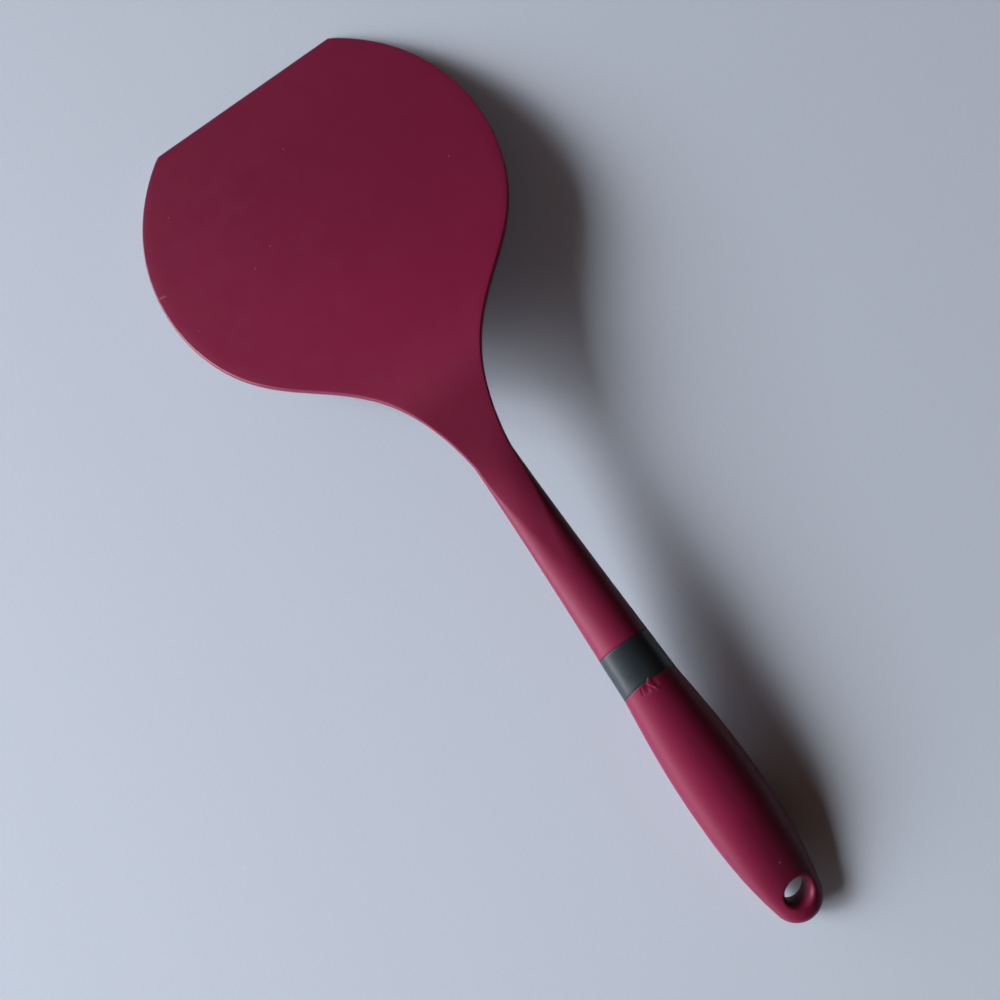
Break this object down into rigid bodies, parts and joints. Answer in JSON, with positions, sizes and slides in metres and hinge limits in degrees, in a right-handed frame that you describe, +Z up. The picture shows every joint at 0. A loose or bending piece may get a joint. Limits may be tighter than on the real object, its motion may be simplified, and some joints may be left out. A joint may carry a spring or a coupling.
{
  "type": "pancake turner",
  "caption": "Pancake turner with a broad round blade cut straight at its leading edge, a slim bent shank, a collar band and an oval grip with a hanging hole.",
  "frame": {"origin": "centre of the base of the bounding box, on the table that the turner lies on: the leading edge and the grip touch it", "axes": "+X runs along the tool from the leading edge to the end of the grip, +Y is to one side, +Z is up"},
  "size_m": [0.3656, 0.1324, 0.0321],
  "materials": {
    "red_silicone": "matte wine-red silicone rubber with a soft, even sheen",
    "grey_band": "satin dark grey plastic",
    "stiff_core": "plain moulded nylon, hidden inside"
  },
  "bodies": {
    "root": {"head_skin": "red_silicone", "head_core": "stiff_core", "collar": "grey_band", "handle_core": "stiff_core", "grip": "red_silicone"}
  },
  "joints": []
}
